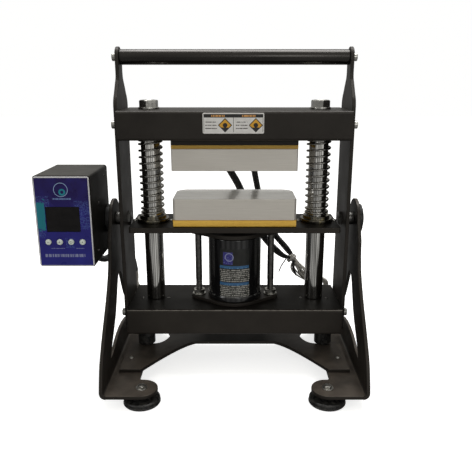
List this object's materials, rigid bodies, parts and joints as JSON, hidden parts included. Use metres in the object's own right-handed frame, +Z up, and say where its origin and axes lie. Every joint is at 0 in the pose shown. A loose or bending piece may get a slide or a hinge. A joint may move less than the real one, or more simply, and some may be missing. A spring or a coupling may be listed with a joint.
{
  "type": "heat press",
  "caption": "Tilting hydraulic heat press: two heated plates in a two-column frame hung on pivots in a floor stand, with return springs and a push-button control box.",
  "frame": {"origin": "centre of the bounding box in X and Y, on the floor under the rubber feet", "axes": "+Z up, +X to the right of an operator who faces the press, -Y towards that operator"},
  "size_m": [0.4612, 0.307, 0.48],
  "materials": {
    "frame_paint": "satin black powder coat with a fine texture",
    "handle_paint": "satin black paint, a little smoother than the frame",
    "cylinder_enamel": "gloss black enamel with a paper label",
    "column_chrome": "ground and hard-chromed steel",
    "zinc_fastener": "bright zinc plate",
    "foot_rubber": "moulded black rubber",
    "spring_steel": "oil-hardened spring wire, dark and shiny",
    "bush_brass": "turned bronze with an oily dark patina",
    "heater_aluminium": "milled aluminium, fine cutter lines",
    "insulation_board": "yellow glass-filled resin board",
    "lead_braid": "black braided sleeving",
    "harness_wire": "pale glass-fibre covered wires",
    "tie_nylon": "natural nylon",
    "box_paint": "satin black paint on folded sheet",
    "panel_film": "deep blue printed film with a white rim",
    "display_glass": "dark tinted window",
    "board_laminate": "green circuit laminate",
    "black_plastic": "black glass-filled nylon",
    "button_plastic": "milky white moulded plastic"
  },
  "bodies": {
    "stand": {"stand_side_left": "frame_paint", "stand_side_right": "frame_paint", "cross_plate": "frame_paint", "pivot_disc": "black_plastic", "controller_housing": "box_paint", "controller_panel": "panel_film", "controller_display": "display_glass", "controller_back": "box_paint", "controller_board": "board_laminate", "power_inlet": "black_plastic", "harness_box": "harness_wire"},
    "frame": {"frame_side_left": "frame_paint", "frame_side_right": "frame_paint", "handle_bar": "handle_paint", "handle_screw_left": "zinc_fastener", "handle_screw_right": "zinc_fastener", "top_beam": "frame_paint", "bottom_beam": "frame_paint", "column_left": "column_chrome", "column_right": "column_chrome", "column_bolt_left": "zinc_fastener", "column_bolt_right": "zinc_fastener", "return_spring_left": "spring_steel", "return_spring_right": "spring_steel", "cylinder_barrel": "cylinder_enamel", "cylinder_base_flange": "frame_paint", "cylinder_head_flange": "frame_paint", "tie_rod_left": "zinc_fastener", "tie_rod_right": "zinc_fastener", "tie_rod_nut_left": "zinc_fastener", "tie_rod_nut_right": "zinc_fastener", "hydraulic_coupler": "zinc_fastener", "upper_insulator": "insulation_board", "upper_heater": "heater_aluminium", "upper_lead": "lead_braid", "sensor_lead": "lead_braid", "cable_tie": "tie_nylon", "harness_frame": "harness_wire", "pivot_bolt_left": "zinc_fastener", "pivot_bolt_right": "zinc_fastener"},
    "platen": {"moving_plate": "frame_paint", "lower_insulator": "insulation_board", "lower_heater": "heater_aluminium", "ram": "column_chrome", "guide_bush_left": "bush_brass", "guide_bush_right": "bush_brass", "lower_lead": "lead_braid"},
    "lock_knob": {"lock_knob": "black_plastic"},
    "button_1": {"button_1": "button_plastic"},
    "button_2": {"button_2": "button_plastic"},
    "button_3": {"button_3": "button_plastic"},
    "button_4": {"button_4": "button_plastic"},
    "foot_front_left": {"foot_pad_front_left": "foot_rubber", "foot_stud_front_left": "zinc_fastener"},
    "foot_front_right": {"foot_pad_front_right": "foot_rubber", "foot_stud_front_right": "zinc_fastener"},
    "foot_rear_left": {"foot_pad_rear_left": "foot_rubber", "foot_stud_rear_left": "zinc_fastener"},
    "foot_rear_right": {"foot_pad_rear_right": "foot_rubber", "foot_stud_rear_right": "zinc_fastener"}
  },
  "joints": [
    {"name": "frame_tilt", "type": "hinge", "parent": "stand", "child": "frame", "pos_m": [0.03835, 0, 0.234], "axis": [1, 0, 0], "range_deg": [-90, 0]},
    {"name": "platen_lift", "type": "slide", "parent": "frame", "child": "platen", "axis": [0, 0, 1], "range_m": [0, 0.04], "stiffness_N_per_m": 5200, "springref_m": -0.012, "deforming": ["return_spring_left", "return_spring_right"]},
    {"name": "lock_knob_turn", "type": "hinge", "parent": "frame", "child": "lock_knob", "pos_m": [0.22635, 0, 0.234], "axis": [1, 0, 0], "continuous": true},
    {"name": "button_1_press", "type": "slide", "parent": "stand", "child": "button_1", "axis": [0, 1, 0], "range_m": [0, 0.0015], "stiffness_N_per_m": 400, "springref_m": -0.001},
    {"name": "button_2_press", "type": "slide", "parent": "stand", "child": "button_2", "axis": [0, 1, 0], "range_m": [0, 0.0015], "stiffness_N_per_m": 400, "springref_m": -0.001},
    {"name": "button_3_press", "type": "slide", "parent": "stand", "child": "button_3", "axis": [0, 1, 0], "range_m": [0, 0.0015], "stiffness_N_per_m": 400, "springref_m": -0.001},
    {"name": "button_4_press", "type": "slide", "parent": "stand", "child": "button_4", "axis": [0, 1, 0], "range_m": [0, 0.0015], "stiffness_N_per_m": 400, "springref_m": -0.001},
    {"name": "foot_front_left_height", "type": "slide", "parent": "stand", "child": "foot_front_left", "axis": [0, 0, -1], "range_m": [0, 0.01]},
    {"name": "foot_front_right_height", "type": "slide", "parent": "stand", "child": "foot_front_right", "axis": [0, 0, -1], "range_m": [0, 0.01]},
    {"name": "foot_rear_left_height", "type": "slide", "parent": "stand", "child": "foot_rear_left", "axis": [0, 0, -1], "range_m": [0, 0.01]},
    {"name": "foot_rear_right_height", "type": "slide", "parent": "stand", "child": "foot_rear_right", "axis": [0, 0, -1], "range_m": [0, 0.01]}
  ]
}
